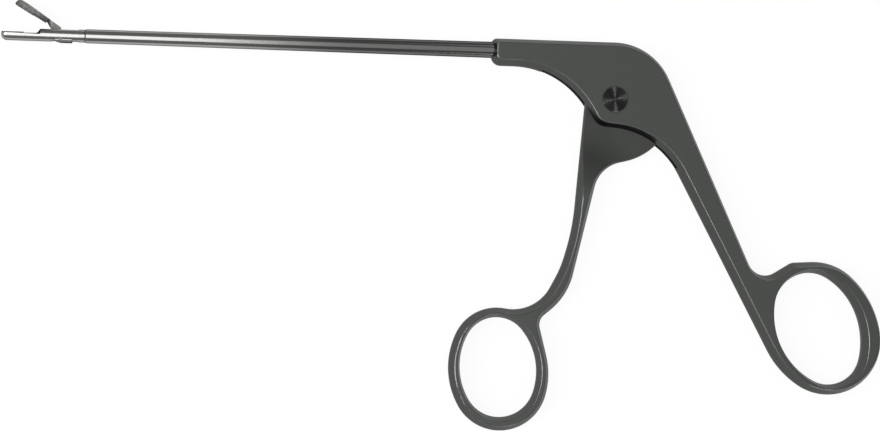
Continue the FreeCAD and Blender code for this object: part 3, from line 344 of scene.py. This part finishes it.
def hand_polished_steel():
    material, tree = empty_material("hand_polished_steel")
    place = add_node(tree, "ShaderNodeTexCoord").outputs["Object"]
    along = add_node(tree, "ShaderNodeMapping", {
        "Vector": place, "Scale": (FILE_STRETCH / FILE_LINE, 1 / FILE_LINE, 1 / FILE_LINE)})
    strokes = add_node(tree, "ShaderNodeTexNoise", {
        "Vector": along.outputs["Vector"], "Scale": 1.0, "Detail": 3.0, "Roughness": 0.6})
    tone = add_node(tree, "ShaderNodeMix", {
        "Factor": strokes.outputs["Fac"], "A": colour("#9a9a99"), "B": colour("#b2b2b0")},
        data_type="RGBA")
    spot = add_node(tree, "ShaderNodeSeparateXYZ", {"Vector": place})
    # painted shade: a dark line in the corner at the seam
    from_seam = add_node(tree, "ShaderNodeMapRange", {
        "Value": spot.outputs["X"], "From Min": SEAM_X - SEAM_WIDTH, "From Max": SEAM_X},
        interpolation_type="SMOOTHSTEP")
    seam_painted_shade = add_node(tree, "ShaderNodeMix", {
        "Factor": from_seam.outputs["Result"], "A": tone.outputs["Result"], "B": colour("#1e1e1d")},
        data_type="RGBA")
    # painted shade: the cut rim along the top is drawn dark
    levelled = add_node(tree, "ShaderNodeVectorMath", {
        0: place, 1: (RIM_FALL, 1, 0)}, operation="DOT_PRODUCT")
    high = add_node(tree, "ShaderNodeMath", {
        0: levelled.outputs["Value"], 1: RIM_LOW}, operation="GREATER_THAN")
    ahead = add_node(tree, "ShaderNodeMath", {0: spot.outputs["X"], 1: RIM_BACK}, operation="LESS_THAN")
    rim = add_node(tree, "ShaderNodeMath", {0: high.outputs[0], 1: ahead.outputs[0]}, operation="MULTIPLY")
    rimmed = add_node(tree, "ShaderNodeMix", {
        "Factor": rim.outputs[0], "A": seam_painted_shade.outputs["Result"], "B": colour("#2a2a29")},
        data_type="RGBA")
    below = add_node(tree, "ShaderNodeMath", {0: spot.outputs["Y"], 1: PAD_TOP}, operation="LESS_THAN")
    beside = add_node(tree, "ShaderNodeMath", {
        0: spot.outputs["X"], 1: PAD_MIDDLE, 2: PAD_HALF}, operation="COMPARE")
    milled = add_node(tree, "ShaderNodeMath", {
        0: below.outputs[0], 1: beside.outputs[0]}, operation="MULTIPLY")
    dulled = add_node(tree, "ShaderNodeMix", {
        "Factor": milled.outputs[0], "A": rimmed.outputs["Result"], "B": colour("#565655")},
        data_type="RGBA")
    polish = add_node(tree, "ShaderNodeMapRange", {
        "Value": strokes.outputs["Fac"], "From Min": NOISE_LOW, "From Max": NOISE_HIGH,
        "To Min": 0.16, "To Max": 0.26})
    shine = add_node(tree, "ShaderNodeMix", {
        "Factor": milled.outputs[0], "A": polish.outputs["Result"], "B": 0.4})
    lines = add_node(tree, "ShaderNodeBump", {
        "Height": strokes.outputs["Fac"], "Strength": 0.1, "Distance": FILE_DEPTH})
    metal = add_node(tree, "ShaderNodeBsdfPrincipled", {
        "Base Color": dulled.outputs["Result"], "Metallic": 1.0, "Roughness": shine.outputs["Result"],
        "Specular Tint": colour("#4a4a4a"), "Normal": lines.outputs["Normal"]})
    add_node(tree, "ShaderNodeOutputMaterial", {"Surface": metal.outputs["BSDF"]})
    return material


FIXED_JAW_STEEL = hand_polished_steel()
print("made", FIXED_JAW_STEEL.name)

# %% [markdown]
# ## Turned steel, for the pins and the rod
# Pins and rod come off a lathe and are coated like the handles, so they are dark too, but smoother.
# The tool leaves rings round their axis, far finer than a pixel. The material only gives the smooth
# dark coat with faint streaks. The rings that show, on the head of the pivot pin, are modelled below.

# %% Turned steel
STREAK = 0.4 * MM


def turned_steel():
    material, tree = empty_material("turned_steel")
    place = add_node(tree, "ShaderNodeTexCoord").outputs["Object"]
    streaks = add_node(tree, "ShaderNodeTexNoise", {
        "Vector": place, "Scale": 1 / STREAK, "Detail": 2.0, "Roughness": 0.5})
    tone = add_node(tree, "ShaderNodeMix", {
        "Factor": streaks.outputs["Fac"], "A": colour("#565856"), "B": colour("#646664")},
        data_type="RGBA")
    metal = add_node(tree, "ShaderNodeBsdfPrincipled", {
        "Base Color": tone.outputs["Result"], "Metallic": 1.0, "Roughness": 0.23,
        "Specular Tint": colour("#8c8c8c")})
    add_node(tree, "ShaderNodeOutputMaterial", {"Surface": metal.outputs["BSDF"]})
    return material


PIN_STEEL = turned_steel()
print("made", PIN_STEEL.name)

# %% [markdown]
# ## Which steel goes where
# A ready-made piece keeps its shape and only gets a new material, in the slots that it already has.
# The hidden pieces inside the tube get their real finish too, because the model can be taken apart.

# %% Put each steel on its pieces
FINISHES = {
    "blasted_dark_steel": (DARK_STEEL, ["rear_handle", "front_handle"]),
    "polished_tube_steel": (TUBE_STEEL, ["shaft_tube"]),
    "hand_polished_steel": (FIXED_JAW_STEEL, ["fixed_jaw"]),
    "eroded_jaw_steel": (MOVING_JAW_STEEL, ["upper_jaw", "rod_fork"]),
    "turned_steel": (PIN_STEEL, ["pivot_pin", "jaw_pivot_pin", "drive_pin", "drive_rod", "rod_ball",
                                 "rod_guide_bush"]),
}
for finish, (material, names) in FINISHES.items():
    for name in names:
        piece = NODES[name]
        if not piece.material_slots:
            piece.data.materials.append(material)
        for slot in piece.material_slots:
            slot.material = material
    print(finish, "on", names)

# %% [markdown]
# ## The filed back of the moving jaw
# In the picture the back of the open jaw runs straight on over its tang and ends in a small heel. The
# ready-made jaw has its round back a little thicker there, with a step behind it. So a copy of it is
# merged and then filed: one long block, laid along the line seen in the picture, takes off what stands
# over that line, and a short one takes off what stands above the cheeks behind the heel. A boolean is
# the right tool here, because the cuts have to stop short of the hidden part of the tang, which a plain
# bisect would cut too.

# %% Filed jaw
BACK_LINE_TIP = Vector((-157.61, 21.71, 4.0)) * MM
BACK_LINE_HEEL = Vector((-147.64, 14.84, 4.0)) * MM
BEYOND_TIP, BEYOND_HEEL = 0.3, 0.05     # shares of the line by which the long file runs past its ends
CHEEK_TOP = 14.2 * MM
FILE_HALF_HEIGHT = 1.5 * MM
FILE_THICKNESS = 4 * MM
MERGE_WITHIN = 0.0005 * MM
SMOOTH_BELOW = math.radians(30)


def file_block(name, centre, length, height, turn):
    """A block that cuts as a file does; turn is its angle to the x axis."""
    bpy.ops.object.select_all(action="DESELECT")
    bpy.ops.mesh.primitive_cube_add(size=1, location=centre, rotation=(0, 0, turn),
                                    scale=(length, height, FILE_THICKNESS))
    block = bpy.context.object
    block.name = name
    return block


def filed_jaw():
    run = BACK_LINE_HEEL - BACK_LINE_TIP
    outward = Vector((-run.y, run.x, 0)).normalized()
    half = FILE_HALF_HEIGHT
    ends = (BACK_LINE_TIP - run * BEYOND_TIP, BACK_LINE_HEEL + run * BEYOND_HEEL)
    long_block = file_block("long_file", (ends[0] + ends[1]) / 2 + outward * half,
                            (ends[1] - ends[0]).length, 2 * half, math.atan2(run.y, run.x))
    heel_block = file_block("heel_file", (BACK_LINE_HEEL.x + half, CHEEK_TOP + half, BACK_LINE_HEEL.z),
                            2 * half, 2 * half, 0)
    jaw = NODES["upper_jaw"].copy()
    jaw.data = jaw.data.copy()
    jaw.name = "filed_upper_jaw"
    bpy.context.scene.collection.objects.link(jaw)
    bpy.ops.object.select_all(action="DESELECT")
    jaw.select_set(True)
    bpy.context.view_layer.objects.active = jaw
    bpy.ops.object.mode_set(mode="EDIT")
    bpy.ops.mesh.select_all(action="SELECT")
    bpy.ops.mesh.remove_doubles(threshold=MERGE_WITHIN)
    bpy.ops.object.mode_set(mode="OBJECT")
    for block in (long_block, heel_block):
        bpy.ops.object.modifier_add(type="BOOLEAN")
        cut = jaw.modifiers[-1]
        cut.operation = "DIFFERENCE"
        cut.object = block
        bpy.ops.object.modifier_apply(modifier=cut.name)
        bpy.data.objects.remove(block)
    bpy.ops.object.shade_smooth_by_angle(angle=SMOOTH_BELOW)
    return jaw


FILED_JAW = filed_jaw()
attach(FILED_JAW, "upper_jaw")
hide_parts("upper_jaw")
print("faces before and after filing:", len(NODES["upper_jaw"].data.polygons), len(FILED_JAW.data.polygons))

# %% [markdown]
# ## The turned face of the pivot pin
# The head is faced off on a lathe. The tool's feed leaves shallow rings, and those rings are what throws
# the fans of light that mark the pivot in the picture. A texture could fake one view of them, but real
# ridges catch the light rightly from every side. So this is a thin closed disc, sunk into the head, and
# its upper face is inset again and again, with the inner face pulled up and pushed down in turn.

# %% Turned face
PIN_LOW, PIN_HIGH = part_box("pivot_pin")
HEAD_RIM = 0.2 * MM
FACE_RADIUS = (PIN_HIGH.x - PIN_LOW.x) / 2 - HEAD_RIM
ROUND_STEPS = 96
RING_COUNT = 16
RIDGE_ANGLE = math.radians(40)
VALLEY_HEIGHT = PIN_HIGH.z + 0.005 * MM
DISC_THICKNESS = 0.1 * MM


def turned_face():
    bpy.ops.object.select_all(action="DESELECT")
    half_ring = FACE_RADIUS / (2 * RING_COUNT + 1)
    ridge = half_ring * math.tan(RIDGE_ANGLE)
    bpy.ops.mesh.primitive_cylinder_add(vertices=ROUND_STEPS, radius=FACE_RADIUS, depth=DISC_THICKNESS,
                                        location=(0, 0, VALLEY_HEIGHT - DISC_THICKNESS / 2))
    disc = bpy.context.object
    disc.name = "pivot_turned_face"
    bpy.ops.object.transform_apply(location=True, rotation=True, scale=True)
    bpy.ops.object.mode_set(mode="EDIT")
    bpy.ops.mesh.select_mode(type="FACE")
    bpy.ops.mesh.select_all(action="DESELECT")
    bpy.ops.object.mode_set(mode="OBJECT")
    for face in disc.data.polygons:
        face.select = face.normal.z > 0.5
    bpy.ops.object.mode_set(mode="EDIT")
    for ring in range(2 * RING_COUNT):
        bpy.ops.mesh.inset(thickness=half_ring, depth=0)
        bpy.ops.transform.translate(value=(0, 0, -ridge if ring % 2 else ridge))
    bpy.ops.object.mode_set(mode="OBJECT")
    return disc


PIVOT_FACE = turned_face()
PIVOT_FACE.data.materials.append(PIN_STEEL)
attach(PIVOT_FACE, "frame")
print("rings cut:", RING_COUNT, "faces:", len(PIVOT_FACE.data.polygons))

# %% [markdown]
# ## The table
# The instrument was shot on plain white, and the picture shows almost no shadow. The floor is a pale
# board. To the camera, and in the reflections of the metal, most of its white is its own, so that the
# soft shadow under the instrument stays faint, as it does on a lit table.

# %% Table
OWN_WHITE = 0.93
TABLE_SIDE = 6              # metres, so that its edge stays out of sight in low views


def table_board():
    bpy.ops.object.select_all(action="DESELECT")
    bpy.ops.mesh.primitive_plane_add(size=TABLE_SIDE, location=(0, 0, CAD_LOW.z))
    board = bpy.context.object
    board.name = "white_table"
    material, tree = empty_material("white_board")
    paper = add_node(tree, "ShaderNodeBsdfDiffuse", {"Color": colour("#fcfcfa")})
    lit = add_node(tree, "ShaderNodeEmission", {"Color": colour("#ffffff"), "Strength": 1.0})
    ray = add_node(tree, "ShaderNodeLightPath")
    seen = add_node(tree, "ShaderNodeMath", {
        0: ray.outputs["Is Camera Ray"], 1: ray.outputs["Is Glossy Ray"]}, operation="ADD")
    seen_too = add_node(tree, "ShaderNodeMath", {
        0: seen.outputs[0], 1: ray.outputs["Is Transmission Ray"]}, operation="ADD", use_clamp=True)
    share = add_node(tree, "ShaderNodeMath", {0: seen_too.outputs[0], 1: OWN_WHITE}, operation="MULTIPLY")
    both = add_node(tree, "ShaderNodeMixShader", {
        0: share.outputs[0], 1: paper.outputs[0], 2: lit.outputs[0]})
    add_node(tree, "ShaderNodeOutputMaterial", {"Surface": both.outputs[0]})
    board.data.materials.append(material)


table_board()
print("table at height", round(CAD_LOW.z / MM, 2), "mm")

# %% [markdown]
# ## The light
# The white band on the shaft is bright near the jaws and fades towards the handles, so the bright
# softbox hangs over the left part of the table only, and a large dim sheet covers the rest. A brighter
# strip further left draws the thin lines along the left edges of the handles. A small lamp low in
# front of the table, where the shaft doesn't mirror it, draws the fans on the pivot, and another one
# behind it lifts the back of the open jaw. The room beyond is a dim grey, and it makes the dark
# stripes on the shaft.

# %% Softboxes and room
ROOM_GREY = 0.25


def softbox(name, place, aim, width, depth, radiance):
    """A lamp at a place in metres that faces its aim; radiance is how bright its sheet looks."""
    lamp = bpy.data.lights.new(name, "AREA")
    lamp.shape = "RECTANGLE"
    lamp.size, lamp.size_y = width, depth
    lamp.energy = radiance * math.pi * width * depth
    box = bpy.data.objects.new(name, lamp)
    bpy.context.scene.collection.objects.link(box)
    box.location = place
    box.rotation_euler = (Vector(aim) - Vector(place)).to_track_quat("-Z", "Y").to_euler()


LAMPS = [   # name, place, aim, width, depth and radiance
    ("bright_softbox", (-0.42, -0.14, 1.0), (-0.42, -0.14, 0.0), 0.60, 0.95, 2.4),
    ("dim_sheet", (0.44, -0.16, 1.0), (0.44, -0.16, 0.0), 1.12, 1.2, 0.68),
    ("left_strip", (-0.98, -0.15, 1.0), (-0.1, -0.05, 0.0), 0.55, 0.9, 7.5),
    ("front_lamp", (0.416, -1.386, 0.39), (0.0, 0.0, 0.0), 0.5, 0.4, 3.2),
    ("jaw_lamp", (0.35, 0.86, 0.69), (-0.155, 0.02, 0.0), 0.5, 0.5, 1.2),
]
for lamp_row in LAMPS:
    softbox(*lamp_row)
room = bpy.data.worlds.new("dim_room")
bpy.context.scene.world = room
room.use_nodes = True
room.node_tree.nodes.clear()
walls = add_node(room.node_tree, "ShaderNodeBackground", {
    "Color": colour("#ffffff"), "Strength": ROOM_GREY})
add_node(room.node_tree, "ShaderNodeOutputWorld", {"Surface": walls.outputs[0]})
bpy.context.scene.view_settings.view_transform = "Standard"
